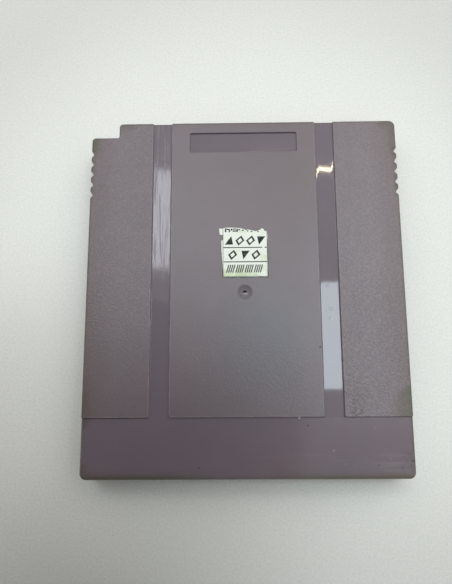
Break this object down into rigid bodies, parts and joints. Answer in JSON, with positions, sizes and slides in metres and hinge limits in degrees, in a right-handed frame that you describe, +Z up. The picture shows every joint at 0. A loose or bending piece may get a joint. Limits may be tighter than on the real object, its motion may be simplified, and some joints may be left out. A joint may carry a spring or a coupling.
{
  "type": "game cartridge",
  "caption": "Flat moulded cartridge for a handheld game console: two shells with side grips, a key notch and a panelled back, open at one end over a circuit board's edge contacts.",
  "frame": {"origin": "middle of the front face that the cartridge lies on", "axes": "+Z up through the back, +Y towards the grip end with the key notch, the connector's mouth opens towards -Y"},
  "size_m": [0.057, 0.065, 0.0079],
  "materials": {
    "shell_plastic": "grey moulded plastic, grained panels and smooth channels, grimy at the edges",
    "board_laminate": "green solder mask on glass-fibre laminate",
    "contact_gold": "thin gold plating",
    "chip_resin": "matt black moulded resin",
    "lead_tin": "dull tin plating",
    "capacitor_ceramic": "tan fired ceramic",
    "resistor_glaze": "black glaze",
    "sticker_paper": "thin printed paper, torn and stained"
  },
  "bodies": {
    "root": {"rear_shell": "shell_plastic", "front_shell": "shell_plastic", "circuit_board": "board_laminate", "edge_contacts": "contact_gold", "memory_chip": "chip_resin", "memory_chip_leads": "lead_tin", "control_chip": "chip_resin", "control_chip_leads": "lead_tin", "memory_capacitor": "capacitor_ceramic", "memory_capacitor_ends": "lead_tin", "control_capacitor": "capacitor_ceramic", "control_capacitor_ends": "lead_tin", "supply_capacitor": "capacitor_ceramic", "supply_capacitor_ends": "lead_tin", "reset_resistor": "resistor_glaze", "reset_resistor_ends": "lead_tin", "select_resistor": "resistor_glaze", "select_resistor_ends": "lead_tin", "paper_sticker": "sticker_paper"}
  },
  "joints": []
}
